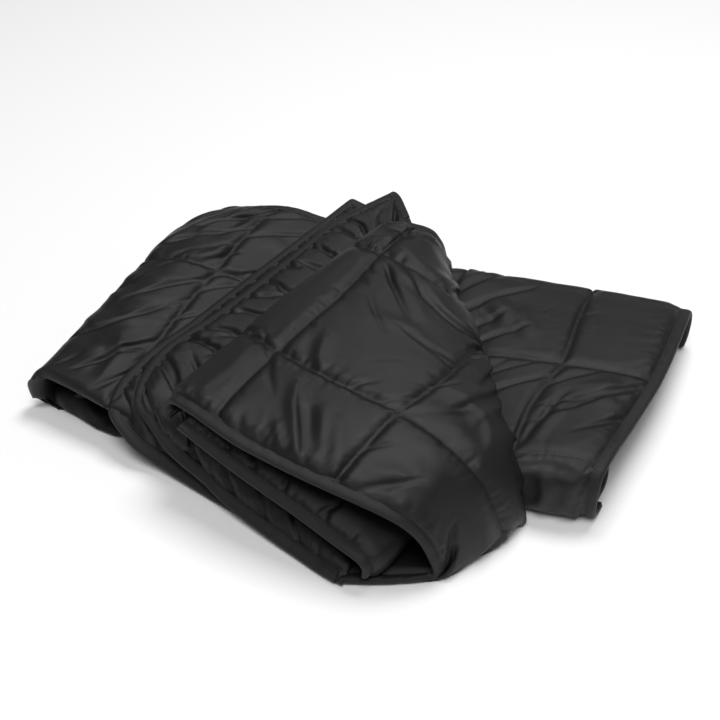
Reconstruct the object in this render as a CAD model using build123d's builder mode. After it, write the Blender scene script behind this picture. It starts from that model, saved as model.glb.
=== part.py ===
from build123d import *
import os
from math import cos, sin, radians, hypot

os.makedirs("parts", exist_ok=True)

# A quilted heating blanket, folded for storage. Millimetres, +Z up, standing on the floor.
# It is folded lengthwise into a strip, then doubled back on itself: the strip runs from the
# open mouth on the right to the nose on the left, returns on top, and its last part is
# turned over as a flap with the blanket's other end showing under it.

SHEET = 9.0      # one sheet: cover, heating layer and lining
COVER = 3.4      # cover with its wadding
LINING = 3.6     # washable lining
HEATER = 1.2     # carbon fibre heating layer between them
GAP = 0.4        # clearance between neighbours
BIND = 12.0      # width of the bound edge
INSET = 18.0     # how far the heating layer stays inside the sheet's edges

# The folded blanket's box is centred on the origin.
CENTRE_X, CENTRE_Y = 10.424, -83.622

# Lower strip: u runs along it from the nose, c runs across it from the front.
STRIP_AT = (-337.0, -90.0)
STRIP_ALONG, STRIP_ACROSS = -15.5, 62.5
STRIP_LENGTH = 583.0

# Flap: a runs along it from its left fold, b runs across it from its hem.
FLAP_AT = (-179.0, -198.0)
FLAP_ALONG, FLAP_ACROSS = -36.0, 54.0


def step(at, angle_1, d1, angle_2, d2):
    x = at[0] + d1 * cos(radians(angle_1)) + d2 * cos(radians(angle_2))
    y = at[1] + d1 * sin(radians(angle_1)) + d2 * sin(radians(angle_2))
    return x - CENTRE_X, y - CENTRE_Y


def upright(at, heading):
    """A vertical plane through a point, its local x along the heading and local y up."""
    dx, dy = cos(radians(heading)), sin(radians(heading))
    return Plane(origin=(at[0], at[1], 0), x_dir=(dx, dy, 0), z_dir=(dy, -dx, 0))


def strip_plane(c):
    return upright(step(STRIP_AT, STRIP_ALONG, 0, STRIP_ACROSS, c), STRIP_ALONG)


def strip_cross_plane(u):
    return upright(step(STRIP_AT, STRIP_ALONG, u, STRIP_ACROSS, 0), STRIP_ACROSS)


def flap_plane(b):
    return upright(step(FLAP_AT, FLAP_ALONG, 0, FLAP_ACROSS, b), FLAP_ALONG)


def offset_line(line, depth):
    """The line moved sideways by depth, towards the right of its direction of travel."""
    moved = []
    for i, (s, z) in enumerate(line):
        before, after = line[max(i - 1, 0)], line[min(i + 1, len(line) - 1)]
        ds, dz = after[0] - before[0], after[1] - before[1]
        size = hypot(ds, dz)
        moved.append((s + depth * dz / size, z - depth * ds / size))
    return moved


def between(line, upper, lower):
    """Closed outline of a layer that starts and ends at two depths under a line."""
    return offset_line(line, upper) + offset_line(line, lower)[::-1]


def mix(line_1, line_2, t):
    return [(p[0] + (q[0] - p[0]) * t, p[1] + (q[1] - p[1]) * t) for p, q in zip(line_1, line_2)]


def trim(line, cut):
    """The line shortened at both ends by cut, or by most of a shorter end segment."""
    (s0, z0), (s1, z1) = line[0], line[1]
    t = min(0.8, cut / hypot(s1 - s0, z1 - z0))
    first = (s0 + (s1 - s0) * t, z0 + (z1 - z0) * t)
    (s0, z0), (s1, z1) = line[-1], line[-2]
    t = min(0.8, cut / hypot(s1 - s0, z1 - z0))
    last = (s0 + (s1 - s0) * t, z0 + (z1 - z0) * t)
    return [first] + line[1:-1] + [last]


def loft_piece(name, plane_of, sections):
    """Lofts straight between closed outlines that stand on parallel upright planes."""
    with BuildPart() as piece:
        for where, outline in sections:
            with BuildSketch(plane_of(where)):
                with BuildLine():
                    Polyline(*outline, close=True)
                make_face()
        loft(ruled=True)
    piece.part.label = name
    export_step(piece.part, "parts/" + name + ".step")


def layer(name, plane_of, rows, upper, lower):
    loft_piece(name, plane_of, [(where, between(line, upper, lower)) for where, line in rows])


def inner_rows(rows, cut):
    """The same rows drawn in by cut on all four sides."""
    (w0, l0), (w1, l1) = rows[0], rows[1]
    (v0, m0), (v1, m1) = rows[-1], rows[-2]
    first = (w0 + cut, mix(l0, l1, cut / (w1 - w0)))
    last = (v0 - cut, mix(m0, m1, cut / (v0 - v1)))
    return [(w, trim(line, cut)) for w, line in [first] + rows[1:-1] + [last]]


def three_layers(name, plane_of, rows):
    """A sheet's cover, heating layer and lining, from its top line down."""
    layer(name + "_cover", plane_of, rows, 0, COVER)
    layer(name + "_heater", plane_of, inner_rows(rows, INSET), COVER + GAP, COVER + GAP + HEATER)
    layer(name + "_lining", plane_of, rows, SHEET - LINING, SHEET)


# ---- heights of the left block's top sheet: distance along the strip, height ------------
left_top = [
    (-6, [(27, 40), (60, 42), (100, 41.5), (150, 40.5), (220, 40), (290, 39.8)]),
    (60, [(27, 46), (60, 58), (100, 57), (150, 49), (220, 42), (290, 41)]),
    (150, [(27, 60), (60, 78), (100, 75), (150, 60), (220, 53), (280, 49)]),
    (240, [(30, 72), (66, 89), (104, 90), (156, 77), (220, 67), (270, 63)]),
    (300, [(58, 82), (84, 91), (116, 92), (160, 83), (206, 77), (244, 72)]),
    (314, [(80, 88), (104, 92), (126, 92), (162, 84), (200, 79), (236, 74)]),
]
under_share, base_share = 0.69, 0.42


def lowered(rows, share, least):
    """A sheet that sags under another: its heights are a share of those above it."""
    return [(c, [(u, max(least, share * z) + 0.02 * z) for u, z in line]) for c, line in rows]


def rise_start(c):
    return 425 - max(c, 0) * 0.57


# ---- right block's top sheet: it climbs out of the stack to the open mouth --------------
mouth_top = [
    (16, [(rise_start(16), 19.6), (480, 60), (520, 64), (550, 68), (570, 70)]),
    (60, [(rise_start(60), 19.8), (455, 60), (510, 65), (545, 67), (570, 66)]),
    (150, [(rise_start(150), 21), (412, 58), (495, 63), (540, 62), (570, 57)]),
    (240, [(rise_start(240), 26), (355, 56), (470, 58), (530, 54), (570, 49)]),
    (294, [(rise_start(294), 30), (310, 54), (440, 52), (520, 48), (570, 42)]),
]
MOUTH_FROM = 470.0
front_fold_top = [(MOUTH_FROM, 59), (520, 64), (550, 68), (570, 70)]
back_fold_top = [(322, 53.5), (440, 52), (520, 48), (570, 42)]

# ---- base: bottom sheet -----------------------------------------------------------------
STRIP_BACK = 314.0


def strip_outline(cut):
    """Bottom sheet's outline, as distances along and across the strip."""
    left, right = 30.5 + cut, 570 - cut
    front, back = -6 + cut, STRIP_BACK - cut
    return [
        (left, front), (MOUTH_FROM - 3, front), (MOUTH_FROM - 3, 16 + cut), (right, 16 + cut),
        (right, 294 - cut), (318, 294 - cut), (318 - cut, back), (81 + cut, back),
        (59 + cut, 300 - cut), (left, 240)]


def bottom_piece(name, cut, low, high, pockets=()):
    with BuildPart() as piece:
        with BuildSketch(Plane.XY.offset(low)):
            with BuildLine():
                corners = [step(STRIP_AT, STRIP_ALONG, u, STRIP_ACROSS, c)
                           for u, c in strip_outline(cut)]
                Polyline(*corners, close=True)
            make_face()
            for u, c, length, width in pockets:
                at = step(STRIP_AT, STRIP_ALONG, u, STRIP_ACROSS, c)
                with Locations(Location((at[0], at[1], 0), STRIP_ALONG)):
                    Rectangle(length, width, mode=Mode.SUBTRACT)
        extrude(amount=high - low)
    piece.part.label = name
    export_step(piece.part, "parts/" + name + ".step")


# Pockets in the lining: place along and across the strip, length, width.
SENSOR = (180, 165, 16, 6)
CUTOUT = (180, 200, 26, 12)
LEADS = (180, 250, 5, 76)


def grown(pocket, by):
    u, c, length, width = pocket
    return u, c, length + 2 * by, width + 2 * by


bottom_piece("base_lower_cover", 0, 0, COVER)
bottom_piece("base_lower_heater", INSET, COVER + GAP, COVER + GAP + HEATER)
bottom_piece("base_lower_lining", 0, SHEET - LINING, SHEET,
             [grown(SENSOR, GAP), grown(CUTOUT, GAP), grown(LEADS, GAP)])

# ---- base: the parts of the heating circuit that sit in the lining's pockets ------------


def small_block(name, pocket, low, high, round_edge):
    u, c, length, width = pocket
    at = step(STRIP_AT, STRIP_ALONG, u, STRIP_ACROSS, c)
    with BuildPart() as piece:
        with BuildSketch(Plane.XY.offset(low)):
            with Locations(Location((at[0], at[1], 0), STRIP_ALONG)):
                RectangleRounded(length, width, round_edge)
        extrude(amount=high - low)
    piece.part.label = name
    export_step(piece.part, "parts/" + name + ".step")


small_block("temperature_sensor", SENSOR, 5.4, 8.8, 2.5)
small_block("thermal_cutout", CUTOUT, 5.4, 8.8, 3)
small_block("heater_leads", LEADS, 5.4, 7.4, 1)

# Power inlet: a moulded socket standing on the lining at the hidden back edge.
inlet_x, inlet_y = step(STRIP_AT, STRIP_ALONG, 180, STRIP_ACROSS, 296)
with BuildPart() as power_inlet:
    with Locations(Location((inlet_x, inlet_y, SHEET + GAP + 7), STRIP_ALONG)):
        Box(40, 30, 14)
    fillet(power_inlet.edges().filter_by(Axis.Z), 4)
    with Locations(Location((inlet_x, inlet_y, SHEET + GAP + 7), STRIP_ALONG)):
        with Locations((0, 9, 0)):
            Box(26, 13, 9, mode=Mode.SUBTRACT)
power_inlet.part.label = "power_inlet"
export_step(power_inlet.part, "parts/power_inlet.step")

# ---- base: second sheet, left part under the stack and right part over the mouth --------
base_upper = [(c, line[:5] + [(rise_start(c) - 1, line[4][1] - 0.4)])
              for c, line in lowered(left_top, base_share, 18.6)]
upper_under = lowered(left_top, under_share, 28.2)
layer("base_upper_pad", strip_plane, base_upper, 0, SHEET)
three_layers("mouth_top", strip_plane, mouth_top)


def fold_across(name, tops, inner_c, reach):
    """A sheet's fold along the strip's side, from its top sheet down to the floor."""
    sections = []
    for u, top in tops:
        side = 1 if reach > inner_c else -1
        r = abs(reach - inner_c)

        def at(s, z):
            return inner_c + side * s, z
        outer = [at(0, 0), at(r * 0.6, 0.2), at(r * 0.92, 5), at(r, top * 0.4), at(r, top * 0.7),
                 at(r * 0.85, top - 4), at(r * 0.5, top - 0.6), at(0, top)]
        d = min(SHEET, r * 0.55)
        inner = [at(0, top - SHEET), at(r * 0.4, top - SHEET - 1), at(r - d - 1, top - SHEET - 5),
                 at(r - d, top * 0.66), at(r - d, top * 0.42), at(r - d - 1, SHEET + 4),
                 at(r * 0.35, SHEET + 0.6), at(0, SHEET)]
        sections.append((u, outer + inner))
    loft_piece(name, strip_cross_plane, sections)


fold_across("mouth_front_fold", front_fold_top, 15.4, -20)
fold_across("mouth_back_fold", back_fold_top, 294.6, 311)

# Bound edge of the mouth: top, bottom, and round the front.
layer("mouth_binding_top", strip_plane,
      [(c, [(572.4, line[-1][1]), (583, line[-1][1] - 1.5)]) for c, line in mouth_top],
      -0.5, SHEET)
with BuildPart() as mouth_binding_bottom:
    with BuildSketch():
        with BuildLine():
            ends = [(570.5, 16), (582.5, 16), (582.5, 294), (570.5, 294)]
            Polyline(*[step(STRIP_AT, STRIP_ALONG, u, STRIP_ACROSS, c) for u, c in ends],
                     close=True)
        make_face()
    extrude(amount=SHEET)
mouth_binding_bottom.part.label = "mouth_binding_bottom"
export_step(mouth_binding_bottom.part, "parts/mouth_binding_bottom.step")
fold_across("mouth_binding_front", [(570.5, 69.6), (582.5, 68)], 15.4, -20)

# ---- nose: both sheets turn over at the left end -----------------------------------------
nose_shift = [(c, line[0][0] - 27) for c, line in left_top]


def nose(name, depth, tops):
    """C-shaped fold at the strip's left end, between a lower and an upper sheet."""
    sections = []
    for (c, shift), (floor_top, top) in zip(nose_shift, tops):
        x0, x1 = shift + depth, shift + 26.6
        z0 = floor_top - SHEET

        def at(s, z):
            return x0 + s, z
        h = top - z0
        outer = [(x1, z0), at(8, z0 + 1), at(1.5, z0 + 0.16 * h), at(0, z0 + 0.4 * h),
                 at(0.5, z0 + 0.65 * h), at(5, z0 + 0.9 * h), (x1, top)]
        mid = z0 + 0.5 * h
        inner = [(x1, top - SHEET), at(11, mid + 0.28 * (h - 2 * SHEET)),
                 at(9, mid + 0.05 * h), at(9, mid - 0.05 * h),
                 at(11, mid - 0.28 * (h - 2 * SHEET)), (x1, z0 + SHEET)]
        sections.append((c, outer + inner))
    loft_piece(name, strip_plane, sections)


nose("nose_outer_fold", 0, [(SHEET, line[0][1]) for c, line in left_top])
nose("nose_inner_fold", 11.6,
     [(line_1[0][1], line_2[0][1]) for (_, line_1), (_, line_2) in zip(base_upper, upper_under)])

# ---- upper level: two sheets that end under the flap --------------------------------------
three_layers("upper_top", strip_plane, left_top)
layer("upper_under_pad", strip_plane, upper_under, 0, SHEET)


def back_binding(name, rows, least=0.0):
    c, line = rows[-1]
    layer(name, strip_plane, [(c + GAP, line), (c + BIND, line)], 0, SHEET)


back_binding("upper_back_binding", left_top)
back_binding("under_back_binding", upper_under)
back_binding("base_upper_back_binding", base_upper)
base_edge = [(STRIP_BACK, [(82, SHEET), (316, SHEET)])]
back_binding("base_lower_back_binding", base_edge)

# ---- flap: top sheet, its right-hand turn, its left fold and the sheet under it -----------
flap_rows = [
    (12, [(12, 98.5), (85, 93), (168, 87), (226, 79), (250, 66)]),
    (70, [(12, 105), (80, 108), (160, 106), (225, 98), (266, 76)]),
    (140, [(12, 112), (80, 116), (156, 114), (225, 100), (270, 78)]),
    (168, [(12, 115), (80, 119), (150, 117), (215, 104), (255, 90)]),
    (200, [(12, 118), (70, 122), (130, 121), (190, 108), (228, 90)]),
    (290, [(12, 124), (45, 126), (80, 123), (115, 113), (142, 92)]),
    (350, [(12, 125), (30, 126), (50, 123), (70, 115), (84, 92)]),
    (378, [(14, 123), (24, 123), (34, 121), (44, 114), (52, 92)]),
]
three_layers("flap", flap_plane, flap_rows)
hem_line = [(12, 97.5), (85, 92), (168, 85.5), (226, 77), (250, 64)]
layer("flap_hem_binding", flap_plane, [(0, hem_line), (11.6, flap_rows[0][1])], -0.3, SHEET)


def turn(start, path):
    """Outline of a sheet that follows a path, SHEET thick, inside on the right."""
    return between([start] + path, 0, SHEET)


def turn_under(a0, z0, reach, low, back):
    """Outline of a sheet that turns under from a0, z0 and lies back on the sheet below."""
    h = z0 - low
    outer = [(a0, z0), (a0 + 0.6 * reach, z0 - 0.22 * h), (a0 + reach, z0 - 0.5 * h),
             (a0 + 0.9 * reach, low + 0.2 * h), (a0 + 0.4 * reach, low + 0.6), (a0 - back, low)]
    inner = [(a0 - back, low + SHEET), (a0 + 0.3 * reach, low + SHEET + 0.8),
             (a0 + reach - SHEET - 1, low + 0.46 * h), (a0 + reach - SHEET - 1, low + 0.54 * h),
             (a0 + 0.2 * reach, z0 - SHEET - 1.2), (a0, z0 - SHEET)]
    return outer + inner


# In front of the strip the flap hangs to the floor and its end is turned under.
loft_piece("flap_skirt", flap_plane, [
    (22, turn((257, 62), [(267, 44), (275, 22), (272, 4), (262, 0.3), (250, 0.3)])),
    (70, turn((271, 72), [(286, 52), (300, 24), (298, 4), (284, 0.3), (262, 0.3)])),
    (140, turn((275, 74), [(290, 54), (303, 24), (301, 4), (286, 0.3), (268, 0.3)])),
])
# Over the strip the flap turns under on top of the right block.
loft_piece("lobe_fold", flap_plane, [
    (168, turn_under(257.5, 89, 22, 64.5, 10)),
    (200, turn_under(230.5, 89, 20, 63, 14)),
    (290, turn_under(145.5, 90, 17, 60, 20)),
    (350, turn_under(88, 89, 13, 58.5, 20)),
    (378, turn_under(58, 86, 12, 58, 18)),
])

return_rows = [
    (1, [(12, 85), (60, 74.5), (120, 62), (180, 48.5), (224, 39)]),
    (70, [(12, 92), (70, 93), (130, 86), (190, 70), (222, 56)]),
    (140, [(12, 100), (70, 103), (130, 100), (180, 86), (214, 70)]),
    (200, [(12, 106), (60, 109), (110, 107), (150, 98), (180, 86)]),
    (290, [(12, 112), (35, 114), (60, 112), (85, 104), (104, 95)]),
    (350, [(12, 113.5), (22, 114), (34, 112), (44, 106), (52, 97)]),
]
layer("return_pad", flap_plane, return_rows, 0, SHEET)
return_hem = [(12, 84), (60, 73.5), (120, 60.5), (180, 47), (224, 37.5)]
layer("return_hem_binding", flap_plane, [(-11, return_hem), (0.6, return_rows[0][1])],
      -0.3, SHEET)


def left_fold(top_line, under_line):
    """C-shaped fold from the flap round to the sheet beneath it."""
    (a0, z0), (_, z1) = top_line[0], under_line[0]
    outer = [(a0 - 2.8, z0), (a0 - 8, z0 - 1.5), (a0 - 13, z0 - 7), (a0 - 13, z1 - SHEET + 6),
             (a0 - 8, z1 - SHEET + 1), (a0 - 2.8, z1 - SHEET)]
    mid = (z0 - SHEET + z1) / 2
    inner = [(a0 - 2.8, z1), (a0 - 3, mid - 0.1), (a0 - 3, mid + 0.1), (a0 - 2.8, z0 - SHEET)]
    return outer + inner


loft_piece("flap_left_fold", flap_plane, [
    (0, left_fold(hem_line, [(12, 84.8)])),
    (70, left_fold(flap_rows[1][1], return_rows[1][1])),
    (140, left_fold(flap_rows[2][1], return_rows[2][1])),
    (200, left_fold(flap_rows[4][1], return_rows[3][1])),
    (290, left_fold(flap_rows[5][1], return_rows[4][1])),
    (350, left_fold(flap_rows[6][1], return_rows[5][1])),
])

# ---- blanket's other end: two bound sheets with their corners showing ----------------------
end_upper = [
    (2, [(-48, 56), (-14, 44), (33, 33), (98, 19), (196, 9.6)]),
    (60, [(-70, 77), (0, 70), (70, 58.5), (140, 41), (203, 26)]),
    (140, [(-66, 88), (0, 86), (70, 79), (140, 65), (194, 48)]),
    (200, [(-60, 95), (0, 93), (60, 88.5), (110, 80), (154, 68)]),
    (290, [(-58, 102), (0, 99), (30, 96.5), (60, 91.5), (84, 81)]),
    (350, [(-58, 106), (-10, 102.5), (10, 101), (30, 97), (44, 86)]),
    (425, [(-36, 112), (-20, 110), (-8, 108), (4, 106), (16, 103)]),
]
layer("end_upper_pad", flap_plane, end_upper, 0, SHEET)
layer("end_upper_binding", flap_plane,
      [(b, [(line[0][0] - BIND, line[0][1]), (line[0][0] - 3.5, line[0][1])])
       for b, line in end_upper], -0.3, SHEET)
layer("end_upper_hem", flap_plane,
      [(-10, [(s, max(z - 1, 9.4)) for s, z in end_upper[0][1]]), (1.6, end_upper[0][1])],
      0, SHEET)
end_lower = [
    (16, [(-80, 50), (-30, 36), (20, 25), (60, 15), (88, 9.6)]),
    (60, [(-90, 64), (-40, 61), (20, 53.5), (80, 45), (136, 27)]),
    (140, [(-86, 75), (-30, 74.5), (30, 70), (90, 61), (138, 50)]),
    (200, [(-80, 83), (-30, 82), (20, 80), (70, 74.5), (108, 67)]),
    (290, [(-76, 90), (-40, 88.5), (-10, 87), (20, 85), (50, 81)]),
    (350, [(-76, 94.5), (-50, 93.5), (-25, 92), (-5, 90.5), (15, 89)]),
    (400, [(-74, 98.5), (-60, 97.5), (-45, 97), (-30, 96), (-15, 95)]),
]
layer("end_lower_pad", flap_plane, end_lower, 0, SHEET)
layer("end_lower_binding", flap_plane,
      [(b, [(line[0][0] - BIND, line[0][1]), (line[0][0] - 3.5, line[0][1])])
       for b, line in end_lower], -0.3, SHEET)
layer("end_lower_hem", flap_plane,
      [(4, [(s, max(z - 2, 9.4)) for s, z in end_lower[0][1]]), (15.6, end_lower[0][1])],
      0, SHEET)

# ---- loop: the sheet under the flap turns back to become the blanket's end -----------------


def loop(top_line, under_line):
    (a0, z0), (a1, z1) = top_line[-1], under_line[-1]
    low = z1 - SHEET
    far = max(a0, a1) + 17
    outer = [(a0 + 0.8, z0 - 0.3), (a0 + 12, z0 - 5), (far, low + 0.62 * (z0 - low)),
             (far, low + 0.3 * (z0 - low)), (a1 + 14, low + 1.5), (a1 + 0.8, low)]
    gap = z0 - SHEET - z1
    inner = [(a1 + 0.8, z1), (far - 9, z1 + 0.3 * gap), (far - 9, z1 + 0.7 * gap),
             (a0 + 0.8, z0 - SHEET - 0.3)]
    return outer + inner


loft_piece("loop_fold", flap_plane, [
    (2, loop(return_rows[0][1], end_upper[0][1])),
    (70, loop(return_rows[1][1], end_upper[1][1])),
    (140, loop(return_rows[2][1], end_upper[2][1])),
    (200, loop(return_rows[3][1], end_upper[3][1])),
    (290, loop(return_rows[4][1], end_upper[4][1])),
    (350, loop(return_rows[5][1], end_upper[5][1])),
])
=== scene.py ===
import math

import bpy
import numpy as np
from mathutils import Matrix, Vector
from mathutils.kdtree import KDTree


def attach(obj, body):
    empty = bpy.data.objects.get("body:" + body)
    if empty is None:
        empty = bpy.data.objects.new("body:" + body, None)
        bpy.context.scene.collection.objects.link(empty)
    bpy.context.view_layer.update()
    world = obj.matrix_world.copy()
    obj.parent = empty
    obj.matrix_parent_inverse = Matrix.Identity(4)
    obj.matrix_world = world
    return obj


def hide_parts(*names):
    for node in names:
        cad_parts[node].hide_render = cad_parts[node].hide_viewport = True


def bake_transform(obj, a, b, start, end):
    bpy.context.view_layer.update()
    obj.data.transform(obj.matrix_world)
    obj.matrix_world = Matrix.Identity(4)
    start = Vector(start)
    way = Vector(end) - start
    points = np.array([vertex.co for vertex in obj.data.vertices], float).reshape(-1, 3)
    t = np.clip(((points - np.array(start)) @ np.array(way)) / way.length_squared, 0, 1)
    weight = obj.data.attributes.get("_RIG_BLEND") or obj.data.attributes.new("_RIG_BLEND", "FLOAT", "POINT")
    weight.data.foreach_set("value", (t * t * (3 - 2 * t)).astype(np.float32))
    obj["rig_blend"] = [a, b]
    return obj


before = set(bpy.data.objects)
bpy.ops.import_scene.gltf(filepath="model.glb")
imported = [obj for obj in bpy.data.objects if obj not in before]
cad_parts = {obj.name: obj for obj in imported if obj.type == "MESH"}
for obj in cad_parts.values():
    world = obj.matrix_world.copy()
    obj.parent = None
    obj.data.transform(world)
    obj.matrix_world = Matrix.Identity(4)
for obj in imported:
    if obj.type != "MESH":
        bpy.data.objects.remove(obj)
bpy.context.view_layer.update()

# --- layout
# Folded blanket, millimetres. The same two frames as the CAD: the strip runs from the nose
# on the left to the open mouth on the right, and the flap lies across it.
CENTRE = np.array([10.424, -83.622, 0.0])
STRIP_AT, STRIP_ALONG, STRIP_ACROSS = (-337.0, -90.0), -15.5, 62.5
FLAP_AT, FLAP_ALONG, FLAP_ACROSS = (-179.0, -198.0), -36.0, 54.0
MOUTH_END = 583.0                      # where the strip ends
THICK, EDGE_SHARE = 9.0, 0.34          # one sheet, and its share left inside a bound edge
GROOVE = 2.0                           # depth of a seam on either side of a sheet
SEAM_WIDTH, UNDER_SEAM_WIDTH = 3.2, 7.0
PUCKER_LONG, PUCKER_WIDE = 11.0, 3.4   # the fine puckers beside seams and bound edges
PUSH, STIFFNESS = 0.02, 0.15           # the wadding's push, and the cloth's against bending
STITCH, STITCH_GAP, THREAD = 3.0, 1.3, 0.34
FLOOR_GAP = 0.3                        # nothing is lower than this
FINE, COARSE = ((2.5, 5.0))   # grid spacing


def place(at, angle_1, angle_2, points):
    """(d1, d2, z) points of a skewed frame, in millimetres, as row-frame positions."""
    p = np.array(points, float)
    r1, r2 = math.radians(angle_1), math.radians(angle_2)
    x = at[0] + p[:, 0] * math.cos(r1) + p[:, 1] * math.cos(r2)
    y = at[1] + p[:, 0] * math.sin(r1) + p[:, 1] * math.sin(r2)
    return np.stack([x, y, p[:, 2]], 1) - CENTRE


def strip(points):
    return place(STRIP_AT, STRIP_ALONG, STRIP_ACROSS, points)


def flap(points):
    return place(FLAP_AT, FLAP_ALONG, FLAP_ACROSS, points)


def level(d2, *points):
    """(d1, z) points that all lie at the same place across the frame."""
    return [(d1, d2, z) for d1, z in points]


# --- curves and grids
def spline(points):
    """Dense Catmull-Rom line through the points."""
    p = np.array(points, float)
    q = np.vstack([2 * p[0] - p[1], p, 2 * p[-1] - p[-2]])
    t = np.linspace(0, 1, 12, endpoint=False)[:, None]
    out = []
    for i in range(len(p) - 1):
        a, b, c, d = q[i:i + 4]
        out.append(0.5 * (2 * b + (c - a) * t + (2 * a - 5 * b + 4 * c - d) * t ** 2
                          + (3 * b - a - 3 * c + d) * t ** 3))
    return np.vstack(out + [p[-1:]])


def arc(line):
    return np.concatenate([[0], np.cumsum(np.linalg.norm(np.diff(line, axis=0), axis=1))])


def at_arc(line, s):
    """Points at arc lengths s along a dense line, straight on past its ends."""
    d = arc(line)
    out = np.stack([np.interp(s, d, line[:, k]) for k in range(line.shape[1])], 1)
    over, under = s > d[-1], s < 0
    ends = line[-1] - line[-3]
    out[over] = line[-1] + (s[over] - d[-1])[:, None] * ends / np.linalg.norm(ends)
    start = line[0] - line[2]
    out[under] = line[0] - s[under][:, None] * start / np.linalg.norm(start)
    return out


def hermite(t, h, a, b, slope_a, slope_b):
    """Cubic from a to b with the given slopes at its ends, over the gap h."""
    return ((2 * t ** 3 - 3 * t ** 2 + 1) * a + (t ** 3 - 2 * t ** 2 + t) * h * slope_a
            + (3 * t ** 2 - 2 * t ** 3) * b + (t ** 3 - t ** 2) * h * slope_b)


def across(rows, marks, wanted):
    """Rows of equal length interpolated smoothly at the wanted marks."""
    rows, marks = np.array(rows), np.array(marks, float)
    slopes = np.zeros_like(rows)
    gaps = np.diff(marks)[:, None, None]
    secant = np.diff(rows, axis=0) / gaps
    slopes[0], slopes[-1] = secant[0], secant[-1]
    slopes[1:-1] = (secant[:-1] * gaps[1:] + secant[1:] * gaps[:-1]) / (gaps[1:] + gaps[:-1])
    out = []
    for w in wanted:
        i = int(np.clip(np.searchsorted(marks, w) - 1, 0, len(marks) - 2))
        h = marks[i + 1] - marks[i]
        out.append(hermite((w - marks[i]) / h, h, rows[i], rows[i + 1], slopes[i], slopes[i + 1]))
    return np.array(out)


def steady(values, at, wanted):
    """Smooth interpolation along the first axis that never overshoots the given values."""
    step = np.diff(at)[:, None, None]
    slope = np.diff(values, axis=0) / step
    product = slope[1:] * slope[:-1]
    inner = np.where(product > 0, 2 * product / (slope[1:] + slope[:-1] + (product <= 0)), 0)
    tangent = np.concatenate([slope[:1], inner, slope[-1:]])
    k = np.clip(np.searchsorted(at, wanted, side="right") - 1, 0, len(at) - 2)
    t = ((wanted - at[k]) / np.diff(at)[k])[:, None, None]
    return hermite(t, step[k], values[k], values[k + 1], tangent[k], tangent[k + 1])


def ticks(low, high, spacing, through=()):
    """Marks about `spacing` apart from low to high that hit every value in through."""
    stops = [low] + sorted(x for x in through if low < x < high) + [high]
    out = [low]
    for a, b in zip(stops, stops[1:]):
        n = max(1, round((b - a) / spacing))
        out += [a + (b - a) * (k + 1) / n for k in range(n)]
    return np.array(out)


def smooth(x):
    x = np.clip(x, 0, 1)
    return x * x * (3 - 2 * x)


def unit(vectors):
    return vectors / np.linalg.norm(vectors, axis=1)[:, None]


def normals(grid):
    n = np.cross(np.gradient(grid, axis=1), np.gradient(grid, axis=0))
    return n / np.maximum(np.linalg.norm(n, axis=2), 1e-9)[..., None]


def value_noise(shape, cell, seed):
    """Smooth noise on a grid, about -1 to 1; cell is its size in grid steps (rows, columns)."""
    rng = np.random.default_rng(seed)
    ny, nx = int(shape[0] / cell[0]) + 3, int(shape[1] / cell[1]) + 3
    g = rng.uniform(-1, 1, (ny, nx))
    y, x = np.arange(shape[0]) / cell[0], np.arange(shape[1]) / cell[1]
    yi, xi = y.astype(int), x.astype(int)
    ty, tx = smooth(y - yi)[:, None], smooth(x - xi)[None, :]
    return ((g[yi][:, xi] * (1 - tx) + g[yi][:, xi + 1] * tx) * (1 - ty)
            + (g[yi + 1][:, xi] * (1 - tx) + g[yi + 1][:, xi + 1] * tx) * ty)


def ridge(U, V, points, height, width, skew=0.0):
    """A crease along a line of (u, v) points: raised by height, falling off over width."""
    p = np.array(points, float)
    best = np.full(U.shape, 1e9)
    side, taper = np.zeros(U.shape), np.zeros(U.shape)
    lengths = np.linalg.norm(np.diff(p, axis=0), axis=1)
    gone = 0.0
    for a, b, size in zip(p, p[1:], lengths):
        d = b - a
        t = np.clip(((U - a[0]) * d[0] + (V - a[1]) * d[1]) / (d @ d), 0, 1)
        x, y = U - (a[0] + t * d[0]), V - (a[1] + t * d[1])
        dist = np.hypot(x, y)
        near = dist < best
        best[near] = dist[near]
        side[near] = ((d[0] * y - d[1] * x) / size)[near]
        taper[near] = ((gone + t * size) / lengths.sum())[near]
        gone += size
    w = np.where(side > 0, width * (1 + skew), width * (1 - skew))
    return height * np.exp(-(best / w) ** 2) * np.sqrt(np.clip(4 * taper * (1 - taper), 0.05, 1))


def creases(*lines):
    """Bumps from lines of a crease's (height, width, skew) and its points; below 0 is a hollow."""
    def bumps(U, V):
        return sum(ridge(U, V, points, *shape) for shape, *points in lines)
    return bumps


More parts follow.
